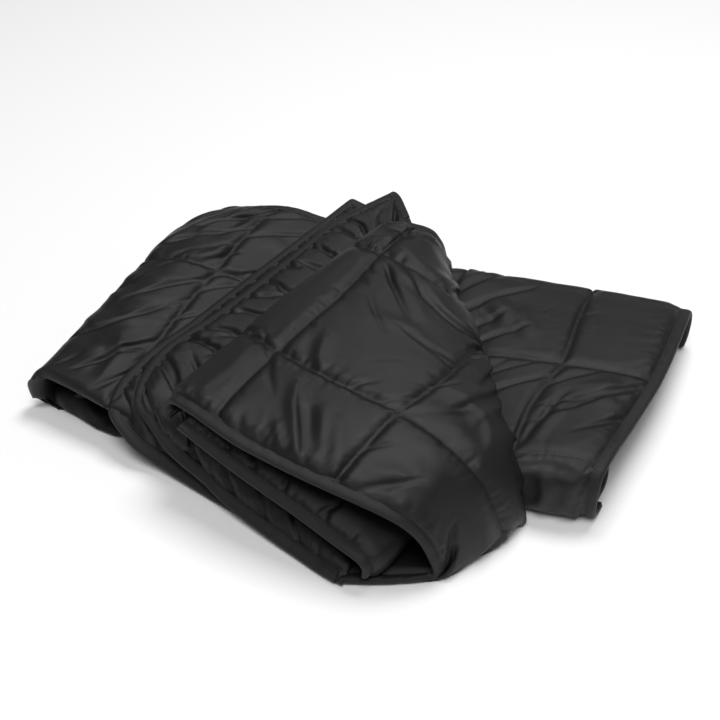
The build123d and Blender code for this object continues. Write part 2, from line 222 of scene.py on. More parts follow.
# --- cloth
def relax(x, base, n, rest_u, rest_v, pinned, rounds, room, bend):
    """Settles a sheet of cloth held down along its seams and pressed out from inside.

    x is the starting grid; rest_u and rest_v are the cloth's own lengths between
    neighbours; pinned nodes stay at x. The height over base stays between 0 and room."""
    x = x.copy()
    turned = x.transpose(1, 0, 2)
    fixed = x[pinned].copy()
    free = (~pinned).astype(float)[..., None]
    turned_free = free.transpose(1, 0, 2)
    diagonal = np.sqrt(rest_u[:-1, :] ** 2 + rest_v[:, :-1] ** 2)
    skip_u, skip_v = rest_u[:, :-1] + rest_u[:, 1:], rest_v[:-1] + rest_v[1:]

    def pull(a, b, length, stiff, wa, wb):
        d = b - a
        size = np.sqrt((d * d).sum(2)) + 1e-9
        k = (stiff * (size - length) / size)[..., None] * d / np.maximum(wa + wb, 1e-9)
        return k * wa, k * wb

    for _ in range(rounds):
        x += n * (PUSH * free)
        for grid, weight, rest, reach, stiff in (
                (turned, turned_free, rest_u.T, 1, 1.0), (x, free, rest_v, 1, 1.0),
                (turned, turned_free, skip_u.T, 2, bend), (x, free, skip_v, 2, bend)):
            for part in range(2 * reach):
                i = np.arange(part, len(grid) - reach, 2 * reach)
                j = i + reach
                to_i, to_j = pull(grid[i], grid[j], rest[i], stiff, weight[i], weight[j])
                grid[i] += to_i
                grid[j] -= to_j
        for part in range(2):
            upper, lower = slice(part, -1, 2), slice(part + 1, None, 2)
            for left, right in ((slice(0, -1), slice(1, None)), (slice(1, None), slice(0, -1))):
                a, b = x[upper, left], x[lower, right]
                to_a, to_b = pull(a, b, diagonal[part::2], 0.3, free[upper, left], free[lower, right])
                a += to_a
                b -= to_b
        h = ((x - base) * n).sum(2)
        x += n * (np.clip(h, 0.0, room) - h)[..., None]
        x[pinned] = fixed
    return x


# --- materials
def put(shader_node, **values):
    """Sets a node's inputs; _ stands for a space in an input's name."""
    for key, value in values.items():
        shader_node.inputs[key.replace("_", " ")].default_value = value
    return shader_node


def node(tree, kind, **values):
    return put(tree.nodes.new("ShaderNode" + kind), **values)


def join(source, output, target, into):
    source.id_data.links.new(source.outputs[output], target.inputs[into])


def blank(name):
    """A new material, its node tree and its Principled shader."""
    material = bpy.data.materials.new(name)
    material.use_nodes = True
    return material, material.node_tree, material.node_tree.nodes["Principled BSDF"]


def fabric(name, colour, rough, weave, crumple=0.0):
    """Woven cloth: two thread directions, slight unevenness in colour and gloss."""
    material, tree, shader = blank(name)
    uv = node(tree, "UVMap")
    uv.uv_map = "cut"
    noise = node(tree, "TexNoise", Scale=22, Detail=4)
    shade = node(tree, "MapRange", To_Min=0.86, To_Max=1.14)
    tint = node(tree, "Mix")
    tint.data_type = "RGBA"
    tint.blend_type = "MULTIPLY"
    put(tint, Factor=1.0, A=(*colour, 1))
    gloss = node(tree, "MapRange", To_Min=rough - 0.05, To_Max=rough + 0.07)
    put(shader, Specular_IOR_Level=0.32)
    join(uv, "UV", noise, "Vector")
    join(noise, "Fac", shade, "Value")
    join(shade, "Result", tint, "B")
    join(tint, "Result", shader, "Base Color")
    join(noise, "Fac", gloss, "Value")
    join(gloss, "Result", shader, "Roughness")
    threads = node(tree, "Math")
    threads.operation = "ADD"
    for k, direction in enumerate("XY"):
        wave = node(tree, "TexWave", Scale=weave, Distortion=0.6, Detail=1)
        wave.wave_type = "BANDS"
        wave.bands_direction = direction
        join(uv, "UV", wave, "Vector")
        join(wave, "Fac", threads, k)
    bump = node(tree, "Bump", Strength=0.35, Distance=0.00012)
    join(threads, 0, bump, "Height")
    if crumple:
        fine = node(tree, "TexNoise", Scale=90, Detail=3, Distortion=0.8)
        soft = node(tree, "Bump", Strength=0.3, Distance=crumple)
        join(uv, "UV", fine, "Vector")
        join(fine, "Fac", soft, "Height")
        join(bump, "Normal", soft, "Normal")
        bump = soft
    join(bump, "Normal", shader, "Normal")
    return material


cover_cloth = fabric("cover_nylon", (0.0068, 0.0067, 0.0071), 0.40, 900, 0.0005)
lining_cloth = fabric("lining_coated", (0.004, 0.004, 0.0043), 0.5, 1100)
tape_cloth = fabric("binding_tape", (0.009, 0.0088, 0.0094), 0.5, 1400)
thread_cloth = fabric("quilting_thread", (0.010, 0.010, 0.0105), 0.5, 3000)


# --- meshes
def add_object(name, data):
    obj = bpy.data.objects.new(name, data)
    bpy.context.scene.collection.objects.link(obj)
    return obj


def make_mesh(name, verts, faces, uvs, material):
    """verts in millimetres; uvs per vertex in metres of cloth."""
    mesh = bpy.data.meshes.new(name)
    verts = np.array(verts)
    verts[:, 2] = np.maximum(verts[:, 2], FLOOR_GAP)
    mesh.from_pydata((verts / 1000).tolist(), [], faces)
    mesh.validate()
    layer = mesh.uv_layers.new(name="cut")
    loops = np.zeros(len(mesh.loops), int)
    mesh.loops.foreach_get("vertex_index", loops)
    layer.data.foreach_set("uv", np.asarray(uvs, np.float32)[loops].ravel())
    mesh.polygons.foreach_set("use_smooth", [True] * len(mesh.polygons))
    mesh.materials.append(material)
    return add_object(name, mesh)


def closed_pad(name, top, bottom, keep, us, vs, material):
    """Closed solid between two grids, only where the cells are kept; and the used points."""
    around = np.pad(keep, 1)
    used = around[1:, 1:] | around[:-1, 1:] | around[1:, :-1] | around[:-1, :-1]
    count = int(used.sum())
    index = np.zeros(used.shape, int)
    index[used] = np.arange(count)
    uv = np.stack(np.meshgrid(us, vs), 2)[used] / 1000
    faces, sides = [], []
    for j, i in np.argwhere(keep):
        a, b, c, d = index[j, i], index[j, i + 1], index[j + 1, i + 1], index[j + 1, i]
        faces += [(a, b, c, d), (d + count, c + count, b + count, a + count)]
        for p, q, covered in ((a, b, around[j, i + 1]), (b, c, around[j + 1, i + 2]),
                              (c, d, around[j + 2, i + 1]), (d, a, around[j + 1, i])):
            if not covered:
                sides.append((q, p, p + count, q + count))
    verts = np.vstack([top[used], bottom[used]])
    return make_mesh(name, verts, faces + sides, np.vstack([uv, uv]), material), used


def stitches(line, up):
    """Separate thread stitches along a dense line, each a small closed capsule."""
    s = arc(line)
    count = int(s[-1] / (STITCH + STITCH_GAP))
    mids = (np.arange(count) + 0.5) * s[-1] / count
    a, b = at_arc(line, mids - STITCH / 2), at_arc(line, mids + STITCH / 2)
    lift = unit(np.stack([np.interp(mids, s, up[:, k]) for k in range(3)], 1))
    side = np.cross(unit(b - a), lift)
    rings = []
    for t, r in ((0.0, 0.3), (0.15, 0.95), (0.5, 1.15), (0.85, 0.95), (1.0, 0.3)):
        mid = a + (b - a) * t - lift * 0.3 * (2 * t - 1) ** 2
        for q in range(6):
            w = q * math.pi / 3
            rings.append(mid + THREAD * r * (math.cos(w) * side + math.sin(w) * lift))
    verts = np.array(rings).transpose(1, 0, 2).reshape(-1, 3)
    one = [(k * 6 + q, k * 6 + (q + 1) % 6, k * 6 + 6 + (q + 1) % 6, k * 6 + 6 + q)
           for k in range(4) for q in range(6)]
    one += [tuple(range(5, -1, -1)), tuple(range(24, 30))]
    faces = [tuple(i + k * 30 for i in face) for k in range(count) for face in one]
    return verts, faces


def sewn(name, bits):
    """One object of thread from several runs of stitches."""
    verts, faces, base = [], [], 0
    for v, f in bits:
        verts.append(v)
        faces += [tuple(i + base for i in face) for face in f]
        base += len(v)
    verts = np.vstack(verts)
    return make_mesh(name, verts, faces, verts[:, :2] / 1000, thread_cloth)


# Half of the folded tape's outline, (inward, up), from its free edge round to the bound edge.
TAPE_HALF = [(12.4, 2.3), (11.6, 3.0), (9.4, 2.9), (6, 3.4), (2.6, 3.3), (0.3, 2.6), (-1.0, 1.4)]
TAPE = TAPE_HALF + [(-1.4, 0)] + [(q, -r) for q, r in TAPE_HALF[::-1]] + [(11.4, 0)]
TAPE_SEAM = 9.4, 3.05
TAPE_STEP = 2.0


def tape_path(*parts):
    """Edges (points, inward, up) joined end to end, evened out and smoothed round corners."""
    points, inward, up = (np.vstack(v) for v in zip(*((p, unit(q), r) for p, q, r in parts)))
    step = np.r_[1.0, np.linalg.norm(np.diff(points, axis=0), axis=1)]
    points, inward, up = (a[step > 0.3] for a in (points, inward, up))
    s = arc(points)
    want = np.linspace(0, s[-1], int(s[-1] / TAPE_STEP) + 1)
    out = []
    for values, reach in ((points, 2), (inward, 6), (up, 4)):
        v = np.stack([np.interp(want, s, values[:, a]) for a in range(3)], 1)
        w = np.pad(v, ((reach, reach), (0, 0)), "edge")
        soft = np.mean([w[i:i + len(v)] for i in range(2 * reach + 1)], axis=0)
        soft[0], soft[-1] = v[0], v[-1]
        out.append(soft)
    edge, inward, up = out
    up = unit(up)
    return edge, unit(inward - (inward * up).sum(1)[:, None] * up), up


def tape(name, path, seed):
    """Folded binding tape round a pad's edge, and the line its stitching follows."""
    edge, inward, up = path
    n, m, s = len(edge), len(TAPE), arc(edge)
    rng = np.random.default_rng(seed)
    waves = [(rng.uniform(0.3, 1), rng.uniform(1.6, 5.5), rng.uniform(0, 6)) for _ in range(6)]
    ripple = sum(a * np.sin(s / w + p) for a, w, p in waves) / 3
    sway = sum(a * np.sin(s / (w * 9) + p) for a, w, p in waves) / 3
    verts, uvs = [], []
    for k, (q, r) in enumerate(TAPE):
        fat = 1 + (0.09 * ripple if 0 < q < 11 else 0)
        verts.append(edge + inward * (q + 0.25 * ripple * (q > 9) + 0.5 * sway)[:, None]
                     + up * (r * fat + 0.35 * sway)[:, None])
        uvs.append(np.stack([s / 1000, np.full(n, k * 0.0026)], 1))
    verts, uvs = np.array(verts).transpose(1, 0, 2), np.array(uvs).transpose(1, 0, 2)
    faces = [(i * m + k, i * m + (k + 1) % m, (i + 1) * m + (k + 1) % m, (i + 1) * m + k)
             for i in range(n - 1) for k in range(m)]
    faces += [tuple(range(m - 1, -1, -1)), tuple((n - 1) * m + k for k in range(m))]
    obj = make_mesh(name, verts.reshape(-1, 3), faces, uvs.reshape(-1, 2), tape_cloth)
    q, r = TAPE_SEAM
    return obj, edge + inward * (q + 0.5 * sway)[:, None] + up * (r + 0.35 * sway)[:, None], up


class Panel:
    """A quilted sheet on a grid of its outer skin: seams along grid lines, relaxed cloth.

    bound and rounded name its bound and rounded borders; the others are hidden. is_middle
    says that the grid is the sheet's middle and not its skin."""

    EDGE_FLAT, EDGE_SLOPE = 6, 15         # under the binding, and from there to full thickness
    HELD, HIDDEN = 8, 11                  # what the binding holds, and what it covers
    SEAM_REACH, EDGE_REACH = 14, 18       # how far the extra cloth of a seam or an edge goes
    EDGE_EXTRA = 0.7                      # an edge's extra cloth, as a share of a seam's
    PUCKER_REACH = 9                      # how far the fine puckers go
    CALM = 5                              # the cloth is smooth this near a seam

    def __init__(self, name, skin, us, vs, seed, keep, bound=(), rounded=(), seams_u=(), seams_v=(),
                 slack=(0.03, 0.03), pucker=0.0, rounds=140, high=3.0, pinch=(1.2, 0.7),
                 levels=((4, 0.5), (2, 0.7)), bumps=None, thick=THICK, is_middle=False):
        self.name, self.us, self.vs, self.keep, self.up = name, us, vs, keep, normals(skin)
        self.bound, self.seed, self.shape = bound, seed, skin.shape[:2]
        self.mid = skin if is_middle else skin - self.up * thick / 2
        U, V = np.meshgrid(us, vs)
        self.gaps = {"left": U - us[0], "right": us[-1] - U, "front": V - vs[0], "back": vs[-1] - V}
        half = np.ones(self.shape)
        for side in rounded:
            t = 1 - np.clip(self.gaps[side] / (thick * 0.6), 0, 1)
            half *= np.sqrt(np.clip(1 - t ** 2, 0.02, 1))
        for side in bound:
            rise = smooth((self.gaps[side] - self.EDGE_FLAT) / self.EDGE_SLOPE)
            half *= EDGE_SHARE + (1 - EDGE_SHARE) * rise
        self.half = half * thick / 2
        no_seam = np.full(self.shape, 1e3)
        self.near_u = np.min([np.abs(U - s) for s in seams_u] + [no_seam], axis=0)
        self.near_v = np.min([np.abs(V - s) for s in seams_v] + [no_seam], axis=0)
        seam = np.minimum(self.near_u, self.near_v)
        self.calm = smooth(seam / self.CALM)
        flat = self.raised(self.mid, self.half)
        dip, under_dip = np.minimum(GROOVE, self.half * 0.85), np.minimum(GROOVE, self.half * 0.8)
        self.top = self.raised(flat, -dip * np.exp(-(seam / SEAM_WIDTH) ** 2))
        under_dip *= np.exp(-(seam / UNDER_SEAM_WIDTH) ** 2)
        self.bottom = self.raised(self.mid, under_dip - self.half)
        self.pinned = seam < 0.5
        self.pinned[[0, -1]] = self.pinned[:, [0, -1]] = True
        for side in bound:
            self.pinned |= self.gaps[side] < self.HELD
        room = high * smooth(seam / 9 + 0.3) + self.half * 0.7
        self.settle(flat, room, slack, pucker, rounds, levels)
        self.add_puckers(pinch)
        if bumps:
            calm = self.calm
            for side in bound:
                calm = calm * smooth((self.gaps[side] - self.EDGE_FLAT) / 10)
            self.top = self.raised(self.top, bumps(U, V) * calm)

    def raised(self, points, height):
        return points + self.up * height[..., None]

    def settle(self, flat, room, slack, pucker, rounds, levels):
        """Cuts the cloth a little longer than the flat sheet and lets the wadding fill it."""
        along_u = slack[0] + pucker * np.exp(-self.near_v / self.SEAM_REACH)
        along_v = slack[1] + pucker * np.exp(-self.near_u / self.SEAM_REACH)
        for side in self.bound:
            along = along_u if side in ("front", "back") else along_v
            along += self.EDGE_EXTRA * pucker * np.exp(-self.gaps[side] / self.EDGE_REACH)
        rest_u = np.linalg.norm(np.diff(flat, axis=1), axis=2)
        rest_v = np.linalg.norm(np.diff(flat, axis=0), axis=2)
        rest_u = rest_u * (1 + (along_u[:, 1:] + along_u[:, :-1]) / 2)
        rest_v = rest_v * (1 + (along_v[1:] + along_v[:-1]) / 2)
        rough = sum(value_noise(self.shape, (cell, cell), self.seed + k) * amount
                    for k, (cell, amount) in enumerate(((3, 0.5), (5, 0.8), (12, 1.0))))
        start = self.raised(self.top, rough * (~self.pinned) * self.calm)
        base = self.raised(self.mid, self.half * 0.3)
        for stride, part in levels:
            start = self.coarse_folds(start, base, rest_u, rest_v, room, stride, part)
        self.top = relax(start, base, self.up, rest_u, rest_v, self.pinned, rounds, room, STIFFNESS)

    def coarse_folds(self, start, base, rest_u, rest_v, room, stride, part):
        """Settles the cloth on a coarser grid first, for the broader folds."""
        ny, nx = self.shape
        J, I = np.arange(0, ny, stride), np.arange(0, nx, stride)
        pick = np.ix_(J, I)
        held = np.zeros((len(J), len(I)), bool)
        for dj in range(stride):
            for di in range(stride):
                held |= self.pinned[np.ix_(np.minimum(J + dj, ny - 1), np.minimum(I + di, nx - 1))]
        held[-1] = held[:, -1] = True
        sums_u = np.add.reduceat(rest_u, I[:-1], axis=1)[J][:, :len(I) - 1]
        sums_v = np.add.reduceat(rest_v, J[:-1], axis=0)[:, I][:len(J) - 1]
        flat_u = np.linalg.norm(np.diff(start[pick], axis=1), axis=2)
        flat_v = np.linalg.norm(np.diff(start[pick], axis=0), axis=2)
        sums_u[:, -1], sums_v[-1] = flat_u[:, -1], flat_v[-1]
        want_u = flat_u + part * np.maximum(sums_u - flat_u, 0)
        want_v = flat_v + part * np.maximum(sums_v - flat_v, 0)
        moved = relax(start[pick], base[pick], self.up[pick], want_u, want_v, held, 80, room[pick],
                      2 * STIFFNESS)
        shift = across(moved - start[pick], J, np.arange(ny))
        shift = across(shift.transpose(1, 0, 2), I, np.arange(nx)).transpose(1, 0, 2)
        return start + shift * (self.calm * ~self.pinned)[..., None]

    def add_puckers(self, pinch):
        """Fine puckers that run out from the seams and from the bound edges."""
        step = (self.us[-1] - self.us[0]) / (self.shape[1] - 1)
        near = [(self.near_v, False, pinch[0]), (self.near_u, True, pinch[1])]
        near += [(np.maximum(self.gaps[side] - self.HIDDEN, 0), side in ("left", "right"),
                  1.2 * pinch[0]) for side in self.bound]
        for k, (away, turned, amount) in enumerate(near):
            cell = (PUCKER_LONG / step, PUCKER_WIDE / step)[::-1 if turned else 1]
            wide = (cell[0] * 1.7, cell[1] * 1.7)
            folds = (value_noise(self.shape, cell, self.seed + 50 + k)
                     + 0.5 * value_noise(self.shape, wide, self.seed + 70 + k))
            fade = np.exp(-away / self.PUCKER_REACH) * smooth(away / 3.0)
            self.top = self.raised(self.top, amount * folds * fade)

    def build(self, material):
        obj, self.used = closed_pad(self.name, self.top, self.bottom, self.keep, self.us, self.vs,
                                    material)
        return obj

    def edge(self, side, low, high, back=False):
        """Points, inward direction and up of a border between two places along it."""
        points, up, along = self.mid, self.up, self.us
        if side in ("left", "right"):
            points, up, along = points.transpose(1, 0, 2), up.transpose(1, 0, 2), self.vs
        pick = np.flatnonzero((along >= low) & (along <= high))[::-1 if back else 1]
        first, inner = (0, 3) if side in ("front", "left") else (-1, -4)
        return points[first, pick], points[inner, pick] - points[first, pick], up[first, pick]

    def seam_line(self, kind, at, low, high):
        """A line just over the relaxed cloth along one seam, and the cloth's normals there."""
        top, up, along, stations = self.top, self.up, self.us, self.vs
        if kind == "u":
            top, up, along, stations = top.transpose(1, 0, 2), up.transpose(1, 0, 2), self.vs, self.us
        k = int(np.argmin(np.abs(stations - at)))
        part = (along >= low) & (along <= high)
        return top[k, part] + up[k, part] * 0.25, up[k, part]


# --- nets
def rows_between(rows):
    """More rows between the given ones, matched by their farthest points left and right."""
    even = []
    for _, points in rows:
        line = spline(points)
        first, last = int(np.argmin(line[:, 0])), int(np.argmax(line[:, 0]))
        bits = []
        for a, b, count in ((0, first, 12), (first, last, 70), (last, len(line) - 1, 60)):
            bit = line[a:b + 1]
            bits.append(at_arc(bit, np.linspace(0, arc(bit)[-1], count)) if b > a + 2
                        else np.repeat(bit[:1], count, axis=0))
        even.append(np.vstack(bits))
    stations = np.array([v for v, _ in rows], float)
    wanted = ticks(stations[0], stations[-1], 14.0, stations[1:-1])
    return list(zip(wanted, steady(np.array(even), stations, wanted)))


def mark_at(v, pairs):
    return np.interp(v, [p[0] for p in pairs], [p[1] for p in pairs])


def net(where, rows, us, vs, marks):
    """Grid of a sheet's outer skin. rows: (v, points along the row). marks: (u, pairs), where
    the column u crosses d1 on the row's upper part, as (v, d1) pairs. Past the marks the
    columns keep the cloth's true length. Also gives the u where each row ends, and where it
    reaches farthest."""
    out, ends, turns = [], [], []
    for v, points in rows:
        local = points if len(points) > 100 else spline(points)
        line = where(local)
        s = arc(line)
        first, last = int(np.argmin(local[:, 0])), int(np.argmax(local[:, 0]))
        ups, arcs = [], []
        for u, pairs in marks:
            d = mark_at(v, pairs)
            if d > local[last, 0] and ups:
                break
            ups.append(u)
            arcs.append(np.interp(d, local[first:last + 1, 0], s[first:last + 1]))
        want = np.interp(us, ups, arcs) + np.minimum(us - ups[0], 0) + np.maximum(us - ups[-1], 0)
        out.append(at_arc(line, want))
        ends.append(ups[-1] + s[-1] - arcs[-1])
        turns.append(ups[-1] + s[last] - arcs[-1])
    stations = [v for v, _ in rows]
    return across(out, stations, vs), np.interp(vs, stations, ends), np.interp(vs, stations, turns)


def column_net(where, rows, us, vs, marks):
    """Like net, but columns sit at the same d1 on every row, straight on past a row's start."""
    out = []
    for v, points in rows:
        local = spline(points)
        want = us.copy()
        for u, pairs in marks:
            want = want + (mark_at(v, pairs) - u) * np.clip(1 - np.abs(us - u) / 90, 0, 1)
        z = np.interp(want, local[:, 0], local[:, 2])
        slope = (local[6, 2] - local[0, 2]) / (local[6, 0] - local[0, 0])
        z = np.where(want < local[0, 0], local[0, 2] + (want - local[0, 0]) * slope, z)
        c = np.interp(want, local[:, 0], local[:, 1])
        out.append(where(np.stack([want, c, z], 1)))
    return across(out, [v for v, _ in rows], vs)


def until(us, ends):
    """Cells that lie before each row's end."""
    return us[None, 1:] <= ((ends[1:] + ends[:-1]) / 2)[:, None]


def start_marks(rows):
    """The mark of a sheet whose column 0 is at the start of each row."""
    return [(0, [(v, points[0][0] + 0.01) for v, points in rows])]


def quilt(name, where, rows, us, vs, marks, seed, cloth=cover_cloth, **looks):
    """A panel over a net of rows, its object, and the u where each row ends."""
    skin, ends, _ = net(where, rows, us, vs, marks)
    panel = Panel(name, skin, us, vs, seed, until(us, ends), **looks)
    return panel, panel.build(cloth), ends


# --- flap
SEAM_A, SEAM_A2, SEAM_B1, SEAM_B2 = 104.0, 292.0, 50.0, 190.0
B1_AT = [(0, 50), (104, 47), (200, 47), (290, 36), (380, 30)]
B2_AT = [(0, 186), (104, 193), (160, 199), (200, 196), (245, 187)]
# Between these places the sheet ends a little past its turn at the right.
TURN_FROM, TURN_TO, PAST_TURN = 112, 172, 14


def fold_start(b, low, high):
    """Outer skin of the flap's left fold at one station, from underneath to the top."""
    left = -9 + 4 * b / 340
    return [(18, b - 8, low), (left + 10, b - 6, low + 0.3), (left + 2, b - 3, low + 4.5),
            (left, b, (low + high) / 2), (left + 2, b + 1, high - 4.5), (left + 9, b, high - 0.8)]


# Rows (place across the flap, points): round the left fold, over the top, down at the right,
# and then along the floor or back under the top.
flap_rows = [
    (0, fold_start(0, 81, 106) + [(16, -1, 106), (50, -4.5, 103.5), (85, -7, 100), (130, -5, 96.5),
     (168, -1.5, 93), (200, 3, 89), (226, 9, 84), (245, 16, 76), (259, 23.5, 64), (270, 29.5, 48.5),
     (278, 33, 29), (281, 35, 17.5), (282, 36, 10), (280, 34, 4), (274, 29.5, 0.9), (259, 16, 0.5),
     (238, -1, 0.5), (208, -21, 0.5)]),
    (52, fold_start(53, 86, 111) + [(16, 53, 112), (50, 51, 114), (85, 48, 113.5), (130, 47, 111),
     (168, 48, 108), (200, 51, 104), (226, 55, 98), (248, 61, 88), (266, 67, 73), (280, 72, 53),
     (290, 75, 31.5), (295, 77.5, 17.5), (296, 78, 10), (294, 77, 4), (288, 74.5, 0.9), (270, 66, 0.5),
     (244, 52, 0.5), (212, 40, 0.5)]),
    (104, fold_start(111, 92, 116) + [(16, 109, 117.5), (47, 104, 119), (80, 100, 120), (120, 97.5, 120),
     (156, 98, 119), (193, 100, 116), (222, 101, 110), (246, 101, 102), (266, 101, 91), (284, 102.5, 75),
     (295, 104, 57.5), (303, 107, 36), (307, 109, 18.5), (308, 110, 10), (306, 109.5, 4),
     (300, 108.5, 0.9), (284, 106, 0.5), (258, 102, 0.5)]),
    (150, fold_start(153, 97, 120.5) + [(16, 152, 122), (47, 150, 124), (80, 149, 124.5),
     (120, 148, 123.5), (156, 149, 121), (193, 151, 115.5), (222, 152, 108.5), (248, 153, 98.5),
     (270, 154, 85.5), (286, 154, 70.5), (297, 153, 54), (304, 152, 35.5), (308, 150, 18.5),
     (309, 149, 10), (307, 148, 4), (301, 147, 0.9), (287, 146, 0.5)]),
    (174, fold_start(175, 98.5, 122) + [(16, 174, 123.5), (50, 172, 125.5), (80, 171, 126),
     (120, 171, 124), (156, 172, 120.5), (190, 173, 114), (220, 175, 106), (246, 175, 94.5),
     (264, 174, 83.5), (275, 173, 76), (279, 173, 70), (275, 174, 66), (262, 175, 65), (246, 176, 63),
     (228, 176, 55.5), (210, 176, 48), (190, 175, 37), (172, 174, 31), (145, 171, 29), (118, 168, 30),
     (92, 164, 32), (70, 160, 33)]),
    (221, fold_start(221, 100.5, 123.5) + [(16, 220, 125), (50, 220, 126.5), (80, 220, 126.5),
     (120, 220, 123), (156, 220, 116), (182, 220, 108), (203, 221, 98.5), (219, 221, 87), (228, 221, 78),
     (230, 221, 71), (227, 221, 65.5), (215, 221, 63.5), (200, 221, 61), (182, 221, 53), (164, 221, 43),
     (146, 221, 37), (124, 219, 35), (100, 217, 36), (76, 214, 38), (57, 212, 39)]),
    (290, fold_start(291, 105, 126) + [(16, 291, 127.5), (45, 290, 129), (80, 288, 127),
     (105, 288, 120.5), (127, 289, 111.5), (145, 290, 101), (155, 290, 88), (160, 290, 76),
     (158, 290, 67), (150, 290, 62), (137, 290, 60.5), (122, 290, 59), (107, 290, 54), (92, 290, 50),
     (76, 289, 48.5), (58, 288, 49), (38, 287, 50)]),
    (336, fold_start(339, 105, 125.5) + [(16, 339, 126.5), (32, 338, 127.5), (52, 337, 125),
     (71, 337, 118.5), (88, 337, 109), (100, 336, 97.5), (108, 336, 84), (110, 336, 75), (107, 336, 66),
     (101, 336, 61), (89, 336, 59.5), (76, 336, 58.5), (62, 336, 57), (48, 336, 56.5), (34, 336, 57),
     (24, 336, 58)]),
    (378, [(14, 345, 104), (2, 345, 104.5), (-6, 346, 109), (-9, 347, 116), (-7, 350, 123), (2, 358, 125),
     (12, 366, 124.5), (26, 374, 123), (38, 379, 120.5), (48, 382, 116.5), (54, 383, 110), (59, 385, 100),
     (62, 386, 88), (62, 387, 77), (59, 387, 67), (54, 387, 60.5), (43, 386, 58.5), (30, 383, 60),
     (15, 378, 62), (-3, 372, 65)]),
]
flap_creases = creases(
    ((5.0, 5.0, -0.6), (96, 82), (110, 58), (138, 27), (156, 6)),
    ((-3.4, 8), (118, 66), (138, 44), (158, 24)), ((2.2, 8, -0.3), (134, 74), (150, 42), (166, 14)),
    ((2.8, 6, 0.4), (106, 34), (120, 22), (134, 4)), ((2.6, 6, 0.5), (74, 146), (90, 118), (104, 106)),
    ((-2.0, 6), (66, 136), (80, 116), (92, 106)), ((2.2, 9), (150, 70), (172, 40), (186, 12)),
    ((2.6, 8, 0.5), (196, 152), (222, 158), (252, 150), (276, 124)),
    ((-1.8, 9), (200, 138), (226, 142), (254, 132)), ((2.4, 10), (176, 262), (214, 228), (250, 198)),
    ((-1.8, 10), (170, 246), (204, 216), (236, 184)),
    ((1.6, 9), (60, 214), (96, 196), (136, 206), (170, 190)),
    ((1.6, 9), (84, 256), (112, 248), (140, 224)), ((2.4, 14), (226, 92), (256, 66), (276, 30)),
    ((1.8, 8), (206, 30), (232, 44), (262, 40)), ((1.8, 9), (20, 96), (26, 60), (20, 14)),
    ((2.6, 6, 0.4), (10, 352), (34, 356), (60, 348)), ((-2.6, 6), (10, 336), (36, 340), (66, 334)),
    ((2.2, 6), (12, 312), (40, 318), (92, 306)), ((1.8, 7), (60, 282), (90, 270), (130, 276)),
    ((2.0, 8), (236, 120), (272, 118), (300, 96)),
)
fu = ticks(-36, 500, FINE, (SEAM_B1, SEAM_B2))
fv = ticks(0, 378, FINE, (SEAM_A, SEAM_A2))
skin, flap_ends, flap_turns = net(flap, rows_between(flap_rows), fu, fv, [
    (14, [(0, 14)]), (SEAM_B1, B1_AT), (SEAM_B2, B2_AT)])
kept_to = np.where((fv > TURN_FROM) & (fv < TURN_TO), flap_turns + PAST_TURN, flap_ends)
flap_panel = Panel("flap_quilt", skin, fu, fv, 11, until(fu, kept_to), ("front", "back"),
                   seams_u=(SEAM_B1, SEAM_B2), seams_v=(SEAM_A, SEAM_A2), slack=(0.008, 0.008),
                   pucker=0.03, pinch=(1.5, 0.7), levels=((4, 0.4), (2, 0.5)), bumps=flap_creases)
flap_quilt = flap_panel.build(cover_cloth)

# --- sheet under the flap
return_rows = [
    (-11, level(-11, (18, 89), (47, 79), (87, 67.5), (120, 60.5), (156, 53.5), (193, 45), (214, 41),
     (226, 39)) + [(234, -10.5, 34), (237, -10, 26), (237, -10, 17), (234, -10, 10.5)]),
    (20, level(20, (18, 92), (60, 84), (120, 72), (170, 60), (205, 50), (226, 43), (239, 34), (242, 24),
     (238, 13), (226, 4))),
    (70, level(70, (18, 97), (70, 95), (130, 86), (190, 70), (222, 56), (236, 48), (240, 37), (234, 26),
     (222, 19))),
    (140, level(140, (18, 104), (70, 103), (130, 100), (180, 86), (214, 70), (228, 61), (231, 51),
     (224, 42), (210, 38))),
    (200, level(200, (18, 109), (60, 109), (110, 107), (150, 98), (180, 86), (194, 78), (197, 69),
     (190, 61), (176, 58))),
    (290, level(290, (18, 112), (35, 114), (60, 112), (85, 104), (104, 95), (117, 88), (120, 80),
     (114, 73), (102, 71))),
    (350, level(350, (18, 113.5), (24, 114), (34, 112), (44, 106), (52, 98), (62, 94), (66, 87),
     (61, 79), (50, 76.5))),
]
return_panel, return_quilt, return_ends = quilt(
    "return_quilt", flap, return_rows, ticks(18, 300, FINE), ticks(-11, 350, FINE),
    [(18, [(0, 18)])], 21, bound=("front", "back"), slack=(0.07, 0.04), pucker=0.05)

